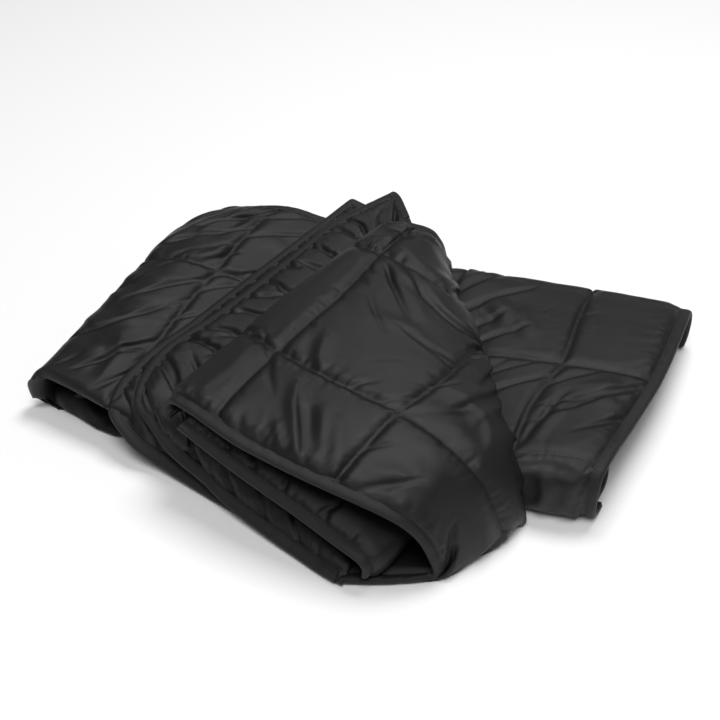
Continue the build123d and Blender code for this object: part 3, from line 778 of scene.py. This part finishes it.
# --- the blanket's other end
# Both sheets' rows start at their bound left edge and end out of sight under the flap.
end_upper_rows = [
    (-5, [(-63, 10, 62), (-50, 6, 54), (-31, 1, 45), (-15, -3, 38), (7, -5, 30.5), (32, -6, 24),
     (64, -11, 17.5), (97, -14, 13), (130, -17, 10.5), (161, -19, 9.5), (190, -21, 9.3), (212, -21, 9.2),
     (234, -19, 9.2)]),
    (20, [(-72, 24, 71), (-50, 22, 68), (-20, 20, 60), (10, 18, 52), (45, 16, 44), (80, 14, 37),
     (120, 12, 30), (160, 10, 22), (204, 8, 15), (226, 9, 12)]),
    (74, [(-85, 74, 80), (-50, 74, 79), (0, 72, 73), (40, 71, 66), (80, 70, 58), (120, 70, 48),
     (160, 70, 38), (203, 70, 27)]),
    (140, level(140, (-76, 88), (-40, 88), (0, 86), (40, 83), (80, 77), (120, 69), (160, 60),
     (194, 49))),
    (200, level(200, (-71, 94.5), (-35, 95), (0, 93), (40, 90), (80, 85), (120, 77), (154, 68))),
    (290, level(290, (-69.5, 101), (-40, 102), (0, 99), (30, 96.5), (60, 91), (84, 82))),
    (350, [(-69.5, 350, 105), (-45, 348, 106), (-10, 340, 102.5), (10, 335, 101), (30, 331, 97),
     (44, 328, 91)]),
    (390, [(-58, 389, 109), (-42, 386, 109), (-22, 377, 107.5), (0, 364, 105), (20, 352, 100)]),
    (434, [(-45, 435, 112), (-33, 429, 111.5), (-13, 412, 110), (2, 399, 108.5), (14, 388, 107),
     (28, 376, 103)]),
]
end_lower_rows = [
    (0, [(-92, 0, 48), (-80, -5, 42), (-66, -8, 34.5), (-53, -10, 28), (-39, -9, 21), (-25, -7, 15),
     (-5, -6, 11), (20, -6, 9.6), (60, -6, 9.4), (88, -6, 9.3)]),
    (20, [(-99, 20, 58), (-80, 19, 54), (-55, 18, 45), (-30, 18, 37), (0, 17, 28), (40, 16, 19),
     (88, 16, 12)]),
    (60, level(60, (-103, 68), (-80, 66), (-40, 61), (20, 53.5), (80, 44), (136, 28))),
    (140, level(140, (-98.5, 76), (-70, 76), (-30, 74.5), (30, 70), (90, 61), (138, 50))),
    (200, level(200, (-94.5, 83), (-60, 83.5), (-20, 82), (20, 80), (70, 74.5), (108, 67))),
    (290, level(290, (-90, 92), (-60, 91.5), (-30, 88.5), (0, 87), (20, 85), (50, 81))),
    (350, level(350, (-87, 98), (-60, 97), (-30, 93), (-5, 90.5), (15, 89))),
    (404, level(404, (-84, 103.5), (-70, 102), (-45, 99), (-30, 97), (-15, 95.5))),
]
EDGE_SEAM, END_SEAM = 84.0, 292.0
end_looks = dict(bound=("front", "left", "back"), seams_u=(EDGE_SEAM,), seams_v=(SEAM_A, END_SEAM))
end_upper_panel, end_upper_quilt, _ = quilt(
    "end_upper_quilt", flap, end_upper_rows, ticks(0, 290, FINE, (EDGE_SEAM,)),
    ticks(-5, 434, FINE, (SEAM_A, END_SEAM)), start_marks(end_upper_rows), 31,
    slack=(0.04, 0.11), pucker=0.03, rounds=180, high=3.5, **end_looks)
end_lower_panel, end_lower_quilt, _ = quilt(
    "end_lower_quilt", flap, end_lower_rows, ticks(0, 250, FINE, (EDGE_SEAM,)),
    ticks(0, 404, FINE, (SEAM_A, END_SEAM)), start_marks(end_lower_rows), 41,
    slack=(0.03, 0.06), pucker=0.05, rounds=120, high=2.5, **end_looks)

# --- left block
LONG_SEAM, CROSS_SEAM, STRIP_BACK = 98.0, 184.0, 326
# Rows (place across the strip, how far the nose is set back, the top's points along it).
block_tops = [
    (8, -4, [(34, 58), (66, 60), (107, 56), (150, 48), (220, 41), (290, 40)]),
    (60, -2, [(34, 68), (66, 72), (107, 63), (150, 53), (220, 43), (290, 41)]),
    (110, 1, [(34, 79), (66, 82), (107, 74), (150, 61), (220, 50), (285, 46)]),
    (170, 2, [(34, 89), (66, 93), (107, 83), (150, 69), (220, 57), (280, 52)]),
    (240, -2, [(34, 95), (66, 99), (107, 95), (150, 82), (220, 68), (272, 64)]),
    (292, 13, [(48, 96), (80, 99), (112, 98), (150, 88), (206, 79), (246, 74)]),
    (326, 47, [(82, 94), (96, 96), (118, 96), (150, 89), (200, 82), (232, 77)]),
]


def nose_start(c, shift, top):
    return [(shift + 34, c, 0.5), (shift + 12, c, 1.0), (shift + 2.5, c, 0.2 * top),
            (shift, c, 0.45 * top), (shift + 3.5, c, 0.72 * top), (shift + 13, c, 0.93 * top)]


front_row = [(34, 6, 0.5), (12, 9, 1), (0, 10, 10), (-7, 9, 26), (-7, 7, 42), (4, 2, 53),
             (30, -8, 55), (62, -18, 53), (92, -27, 50), (107, -30, 48), (150, -33, 43),
             (220, -33, 40), (290, -33, 39)]
upper_rows = [(-17, front_row)] + [
    (c, nose_start(c, shift, top[0][1]) + level(c, *top)) for c, shift, top in block_tops]
block_creases = creases(
    ((2.8, 8), (60, 300), (40, 262), (24, 220), (14, 190)),
    ((3.0, 6, 0.4), (70, 310), (64, 280), (50, 250), (52, 226)),
    ((-2.6, 8), (82, 300), (76, 262), (66, 226)), ((2.6, 5), (92, 232), (86, 206), (70, 190)),
    ((2.0, 7, 0.4), (4, 150), (30, 144), (70, 150)), ((2.4, 7, 0.4), (2, 122), (30, 112), (76, 118)),
    ((-2.0, 7), (10, 100), (42, 92), (80, 100)), ((2.4, 7, 0.4), (0, 84), (28, 70), (72, 84)),
    ((2.2, 7), (10, 44), (40, 36), (80, 52)), ((2.6, 6, 0.4), (60, 60), (76, 34), (72, 0)),
    ((-2.0, 6), (50, 50), (62, 28), (58, 2)), ((2.0, 6), (114, 190), (130, 196), (150, 186)),
    ((2.2, 8), (116, 240), (134, 250), (160, 236)),
)
lu, lv = ticks(-66, 300, FINE, (LONG_SEAM,)), ticks(-17, STRIP_BACK, FINE, (CROSS_SEAM,))
upper_panel, upper_quilt, _ = quilt(
    "upper_quilt", strip, upper_rows, lu, lv,
    [(34, [(c, top[0][0]) for c, _, top in block_tops]),
     (LONG_SEAM, [(c, LONG_SEAM if c < 300 else LONG_SEAM + 6) for c, _, _ in block_tops])],
    51, bound=("back",), rounded=("front",), seams_u=(LONG_SEAM,), seams_v=(CROSS_SEAM,),
    slack=(0.016, 0.028), pucker=0.025, rounds=160, high=2.6, levels=((4, 0.3), (2, 0.5)),
    bumps=block_creases)


def under_quilt(name, share, least, seed, front, reach=None):
    """One of the sheets that lie flat in the stack, its heights a share of the top's."""
    rows = []
    for c, _, top in block_tops:
        c = max(c, front)
        if rows and c <= rows[-1][0]:
            continue
        points = [(u + 2, c, max(least, share * z)) for u, z in top]
        if reach:
            points.append((reach(c), c, 27.5))
        rows.append((c, points))
    us, vs = ticks(0, 390 if reach else 252, COARSE), ticks(rows[0][0], STRIP_BACK, COARSE)
    return quilt(name, strip, rows, us, vs, start_marks(rows), seed, lining_cloth,
                 bound=("back",), rounded=("front",), rounds=40, high=1.5)[:2]


under_panel, upper_under_quilt = under_quilt("upper_under_quilt", 0.71, 28.2, 61, -10)
inner_panel, base_upper_quilt = under_quilt("base_upper_quilt", 0.44, 18.6, 62, -12,
                                            lambda c: 426 - max(c, 0) * 0.57)


# --- bottom sheet
def floor_u(u, c):
    """The bottom sheet ends a little short of the top one, more so towards the back."""
    set_back = 3 + 26 * float(smooth((c - 30) / 120))
    return u - set_back * max(0.0, (u - 440) / (MOUTH_END - 440))


def floor_point(u, c):
    """A place on the bottom sheet; its front left corner is pulled in and rumpled up."""
    front = float(np.interp(u, [-10, 10, 42, 73, 99, 150], [21, 10, -2, -15, -21, -14]))
    if c < 40:
        c = front + (c + 14) / 54 * (40 - front)
    lift = 15 * math.exp(-((u - 24) / 36) ** 2) * float(smooth((c - front) / 12))
    return floor_u(u, c), c, THICK / 2 + lift


bu, bv = ticks(-6, MOUTH_END, COARSE), ticks(-14, STRIP_BACK, COARSE)
middle = np.array([strip([floor_point(u, c) for u in bu]) for c in bv])
cell_u, cell_c = np.meshgrid((bu[1:] + bu[:-1]) / 2, (bv[1:] + bv[:-1]) / 2)
cut_away = ((cell_u > 500) & (cell_c < 12)) | ((cell_u > 335) & (cell_c > 296))
cut_away |= (cell_c > 12) & (cell_u < 36)
cut_away |= (cell_c > 270) & (cell_u < 36 + (cell_c - 270) * 1.1)
floor_creases = creases(
    ((2.6, 6), (8, 6), (26, -6), (34, -14)), ((-2.4, 6), (22, 8), (38, -2), (44, -14)),
    ((2.8, 6), (40, 8), (56, 0), (60, -14)), ((-2.2, 6), (54, 10), (72, 0), (74, -14)),
    ((2.4, 6), (70, 10), (88, 0), (92, -14)),
)
base_panel = Panel("base_lower_quilt", middle, bu, bv, 71, ~cut_away, ("back", "right"), ("front",),
                   seams_v=(CROSS_SEAM,), rounds=60, high=1.5, bumps=floor_creases,
                   thick=THICK - 0.8, is_middle=True)
base_lower_quilt = base_panel.build(lining_cloth)

# --- right block: from the floor up its front, over the top and down its back
MOUTH_FROM, MOUTH_TIP = 486.0, 598.0
SEAM_C1, SEAM_C2, SEAM_C3, FRONT_RIDGE = 188.0, 496.0, 332.0, 38.0
C2_AT = [(38, 500), (80, 491), (111, 489), (188, 493), (278, 480), (346, 474), (400, 474)]
MOUTH_AT = [(-52, 586), (38, 589), (98, 591), (188, 594), (278, 590), (346, 584), (400, 583)]
BACK_US = (262, 285, 312, 380, 440, 520, MOUTH_TIP)   # along the strip, at the block's back


def ridge_height(u):
    return float(np.interp(u, [400, 470, 505, 530, 555, 583], [50, 58, 61, 66, 69, 66]))


# Rows (distance round the block from the floor in front, points along the strip).
mouth_rows = []
for v, c, low, share in ((-52, 12, 0.5, 0.0), (-40, -2, 0.5, 0.0), (-29, -14, 3, 0.05),
                         (-18, -19.5, 0, 0.24), (-2, -21, 0, 0.5), (14, -18.5, 0, 0.76),
                         (26, -12, 0, 0.93), (38, 0, 0, 1.0)):
    mouth_rows.append((v, [(u, c + (1.5 if share < 0.9 else 0) * math.sin(u / 9.0),
                            max(0.5, low + share * ridge_height(u)))
                           for u in (MOUTH_FROM, 505, 525, 545, 562, 574, MOUTH_TIP)]))
mouth_rows += [
    (54, level(16, (412, 30), (440, 47), (470, 58), (505, 62), (535, 67), (562, 69), (MOUTH_TIP, 66))),
    (98, level(60, (388, 28), (420, 44), (455, 58), (510, 64), (545, 66), (565, 65), (MOUTH_TIP, 61))),
    (188, level(150, (342, 26), (375, 43), (412, 57), (450, 62), (495, 63), (540, 64), (MOUTH_TIP, 61))),
    (278, level(240, (292, 32), (320, 48), (355, 60), (420, 63), (470, 62), (530, 62), (MOUTH_TIP, 58))),
]
for v, c, heights in ((328, 290, (40, 53, 61, 62, 60, 59, 54)),
                      (346, 306, (38, 50, 57, 58, 56, 55, 49)),
                      (364, 313, (26, 32, 36, 37, 35, 34, 30)),
                      (382, 307, (9, 10, 10, 10, 10, 9, 8))):
    mouth_rows.append((v, level(c, *zip(BACK_US, heights))))
mouth_rows.append((396, level(297, *((u, 0.8 if u == 262 else 0.6) for u in BACK_US if u != 285))))
mouth_creases = creases(
    ((-3.8, 3.6, 0.3), (516, 139), (510, 94), (502, 48)),
    ((2.6, 7, -0.4), (526, 134), (521, 94), (515, 56)), ((-3.0, 7), (371, 274), (390, 256), (409, 239)),
    ((2.8, 9), (386, 284), (408, 262), (424, 246)), ((-2.2, 7), (408, 264), (425, 240), (443, 222)),
    ((1.6, 10), (420, 272), (440, 246), (458, 226)), ((-2.4, 5), (500, 24), (530, 28), (560, 22)),
    ((2.6, 6), (528, 20), (536, 2), (530, -20)), ((-2.2, 6), (540, 18), (547, 0), (542, -20)),
    ((1.8, 5), (556, 20), (558, 0), (553, -18)), ((1.8, 8), (540, 176), (548, 140), (564, 110)),
    ((1.4, 8), (524, 150), (548, 158), (570, 150)),
)
mu = ticks(262, MOUTH_END, FINE, (SEAM_C2, SEAM_C3))
mv = ticks(-52, 396, FINE, (FRONT_RIDGE, SEAM_C1))
skin = column_net(strip, mouth_rows, mu, mv, [(SEAM_C2, C2_AT), (MOUTH_END, MOUTH_AT)])
starts = mark_at(mv, [(v, points[0][0]) for v, points in mouth_rows])
starts[mv < FRONT_RIDGE] = MOUTH_FROM
mouth_panel = Panel("mouth_quilt", skin, mu, mv, 81,
                    mu[None, :-1] >= (starts[1:, None] + starts[:-1, None]) / 2 - 1, ("right",),
                    seams_u=(SEAM_C2, SEAM_C3), seams_v=(SEAM_C1, FRONT_RIDGE),
                    slack=(0.003, 0.002), pucker=0.006, high=2.5, pinch=(0.9, 0.5),
                    levels=((4, 0.2), (2, 0.4)), bumps=mouth_creases)
mouth_quilt = mouth_panel.build(cover_cloth)

# --- bound edges: each tape's seed, the body or bending quilt that carries it, its borders
TAPES = {
    "flap_hem_tape": (101, "flap", flap_panel.edge("front", -34, flap_ends[0] - 2)),
    "flap_back_tape": (102, flap_quilt, flap_panel.edge("back", -20, flap_ends[-1] - 2)),
    "return_hem_tape": (103, "flap", return_panel.edge("front", 18, return_ends[0] - 2)),
    "end_upper_tape": (104, "flap", end_upper_panel.edge("back", 0, 56, True),
                       end_upper_panel.edge("left", 0, 428, True),
                       end_upper_panel.edge("front", 3, 284)),
    "end_lower_tape": (105, "flap", end_lower_panel.edge("back", 0, 60, True),
                       end_lower_panel.edge("left", 4, 400, True),
                       end_lower_panel.edge("front", 3, 188)),
    "upper_back_tape": (106, upper_quilt, upper_panel.edge("back", -60, 225)),
    "upper_under_back_tape": (107, "upper", under_panel.edge("back", 4, 140)),
    "base_upper_back_tape": (108, "base", inner_panel.edge("back", 4, 140)),
    "base_lower_back_tape": (109, "base", base_panel.edge("back", 100, 330)),
    "mouth_tape": (110, "base", mouth_panel.edge("right", -50, 394)),
    "mouth_floor_tape": (111, "base", base_panel.edge("right", 14, 294)),
}
tapes = [(name, carrier, tape(name, tape_path(*parts), seed))
         for name, (seed, carrier, *parts) in TAPES.items()]


# --- stitching
def seam_threads(name, panel, lines, ends=None):
    """Quilting stitches along the panel's seams; ends stop them where a row is cut off."""
    bits = []
    for kind, at, low, high in lines:
        rows = panel.vs
        if ends is not None and kind == "v":
            high = min(high, ends[int(np.argmin(np.abs(rows - at)))])
        elif kind == "u":
            rows = rows if ends is None else rows[ends > at + 2]
            low, high = max(low, rows[0]), min(high, rows[-1])
        bits.append(stitches(*panel.seam_line(kind, at, low, high)))
    return sewn(name, bits)


flap_threads = seam_threads("flap_stitching", flap_panel, [
    ("v", SEAM_A, -30, 360), ("v", SEAM_A2, -30, 360), ("u", SEAM_B1, 8, 368),
    ("u", SEAM_B2, 8, 368)], flap_ends)
end_upper_threads = seam_threads("end_upper_stitching", end_upper_panel, [
    ("v", SEAM_A, 12, EDGE_SEAM), ("v", END_SEAM, 12, EDGE_SEAM), ("u", EDGE_SEAM, 8, 420)])
upper_threads = seam_threads("upper_stitching", upper_panel, [
    ("v", CROSS_SEAM, -50, 200), ("u", LONG_SEAM, -14, 316)])
mouth_threads = seam_threads("mouth_stitching", mouth_panel, [
    ("v", SEAM_C1, 330, 572), ("v", FRONT_RIDGE, 490, 572), ("u", SEAM_C2, 0, 380),
    ("u", SEAM_C3, 180, 380)])


# --- bodies
BENT_BETWEEN = {"flap_quilt": ("upper", "flap"), "upper_quilt": ("base", "upper")}


def bend_by(obj, bodies, weights):
    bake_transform(obj, *bodies, start=(0, 0, 0), end=(0, 0, 0.1))
    obj.data.attributes["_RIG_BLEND"].data.foreach_set("value", weights.astype(np.float32))


def bend_panel(obj, panel, grid):
    """Bends a panel by a share for each of its grid points, the same on both faces."""
    bend_by(obj, BENT_BETWEEN[panel.name], np.tile(grid[panel.used], 2))


def carry(obj, carrier):
    """obj rides on a body, or bends exactly as the nearest points of a bending quilt."""
    if isinstance(carrier, str):
        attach(obj, carrier)
        return
    tree = KDTree(len(carrier.data.vertices))
    for k, vertex in enumerate(carrier.data.vertices):
        tree.insert(vertex.co, k)
    tree.balance()
    shares = carrier.data.attributes["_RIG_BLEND"].data
    weights = np.array([shares[tree.find(v.co)[1]].value for v in obj.data.vertices])
    bend_by(obj, BENT_BETWEEN[carrier.name], weights)


# The upper quilt bends round the nose. The flap quilt's underside stays with the upper level,
# and its top turns with the flap.
NOSE_BEND_FROM, NOSE_BEND, TURN_BEND, UNDERSIDE_FROM = -46, 70, 24, 168
FU, FV = np.meshgrid(fu, fv)
LU, _ = np.meshgrid(lu, lv)
past_turn = smooth((FU - flap_turns[:, None] + 6) / TURN_BEND)
underside = past_turn * smooth((FV - UNDERSIDE_FROM) / 12)
bend_panel(flap_quilt, flap_panel, 1 - underside)
bend_panel(upper_quilt, upper_panel, smooth((LU - NOSE_BEND_FROM) / NOSE_BEND))

for obj, carrier, *nodes in (
        (flap_quilt, None, "flap_cover", "flap_heater", "flap_lining", "flap_skirt", "lobe_fold",
         "flap_left_fold", "flap_hem_binding"),
        (return_quilt, "flap", "return_pad", "loop_fold", "return_hem_binding"),
        (end_upper_quilt, "flap", "end_upper_pad", "end_upper_binding", "end_upper_hem"),
        (end_lower_quilt, "flap", "end_lower_pad", "end_lower_binding", "end_lower_hem"),
        (upper_quilt, None, "upper_top_cover", "upper_top_heater", "upper_top_lining",
         "nose_outer_fold", "upper_back_binding"),
        (upper_under_quilt, "upper", "upper_under_pad", "under_back_binding"),
        (base_upper_quilt, "base", "base_upper_pad", "nose_inner_fold", "base_upper_back_binding"),
        (base_lower_quilt, "base", "base_lower_cover", "base_lower_heater", "base_lower_lining",
         "base_lower_back_binding", "mouth_binding_bottom"),
        (mouth_quilt, "base", "mouth_top_cover", "mouth_top_heater", "mouth_top_lining",
         "mouth_front_fold", "mouth_back_fold", "mouth_binding_top", "mouth_binding_front")):
    if carrier:
        carry(obj, carrier)
    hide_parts(*nodes)
for obj, carrier in ((flap_threads, flap_quilt), (end_upper_threads, "flap"),
                     (upper_threads, upper_quilt), (mouth_threads, "base")):
    carry(obj, carrier)
for name, carrier, (obj, line, up) in tapes:
    threads = sewn(name + "_stitching", [stitches(line, up)])
    for piece in (obj, threads):
        carry(piece, carrier)


# --- heating circuit
def moulded(name, colour, rough, grain):
    """Matt moulding with a fine grain, for the hidden parts."""
    material, tree, shader = blank(name)
    noise = node(tree, "TexNoise", Scale=grain, Detail=3)
    ramp = node(tree, "ValToRGB")
    for stop, k in zip(ramp.color_ramp.elements, (0.85, 1.15)):
        stop.color = (colour[0] * k, colour[1] * k, colour[2] * k, 1)
    bump = node(tree, "Bump", Strength=0.3, Distance=0.0001)
    put(shader, Roughness=rough)
    join(node(tree, "TexCoord"), "Object", noise, "Vector")
    join(noise, "Fac", ramp, "Fac")
    join(ramp, "Color", shader, "Base Color")
    join(noise, "Fac", bump, "Height")
    join(bump, "Normal", shader, "Normal")
    return material


for name, look in (("power_inlet", moulded("inlet_plastic", (0.012, 0.012, 0.013), 0.45, 900)),
                   ("heater_leads", moulded("lead_silicone", (0.25, 0.24, 0.22), 0.5, 700)),
                   ("thermal_cutout", moulded("cutout_ceramic", (0.55, 0.53, 0.48), 0.6, 1200)),
                   ("temperature_sensor", moulded("sensor_epoxy", (0.02, 0.05, 0.12), 0.3, 600))):
    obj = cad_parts[name]
    for slot in obj.material_slots:
        slot.material = look
    if not obj.material_slots:
        obj.data.materials.append(look)

# --- floor, light, camera
FLOOR_HALF = 30
floor_mesh = bpy.data.meshes.new("floor")
floor_mesh.from_pydata([(x * FLOOR_HALF, y * FLOOR_HALF, 0)
                        for x, y in ((-1, -1), (1, -1), (1, 1), (-1, 1))], [], [(0, 1, 2, 3)])
floor_material, _, floor_shader = blank("pale_floor")
put(floor_shader, Base_Color=(0.93, 0.93, 0.93, 1), Roughness=0.9, Specular_IOR_Level=0.1)
floor_mesh.materials.append(floor_material)
add_object("floor", floor_mesh)

world = bpy.data.worlds.new("studio")
world.use_nodes = True
put(world.node_tree.nodes["Background"], Color=(1, 1, 1, 1), Strength=0.19)
bpy.context.scene.world = world


def softbox(name, at, size, power):
    """A rectangular light that faces the origin."""
    light = bpy.data.lights.new(name, "AREA")
    light.shape = "RECTANGLE"
    light.size, light.size_y = size
    light.energy = power
    obj = add_object(name, light)
    obj.location = at
    obj.rotation_euler = (-Vector(at)).to_track_quat("-Z", "Y").to_euler()


softbox("key", (0.0, -1.5, 3.3), (1.8, 1.8), 68)
softbox("back", (0.6, 0.9, 2.9), (1.4, 1.2), 54)

PITCH, DISTANCE, AIM = math.radians(37.5), 1.4444, Vector((-0.0104, 0.0818, 0.0))
camera_data = bpy.data.cameras.new("camera")
camera_data.lens, camera_data.sensor_width = 65.0, 36.0
camera = add_object("camera", camera_data)
camera.location = AIM + DISTANCE * Vector((0, -math.cos(PITCH), math.sin(PITCH)))
camera.rotation_euler = (math.pi / 2 - PITCH, 0, 0)
bpy.context.scene.camera = camera
bpy.context.scene.view_settings.view_transform = "Standard"
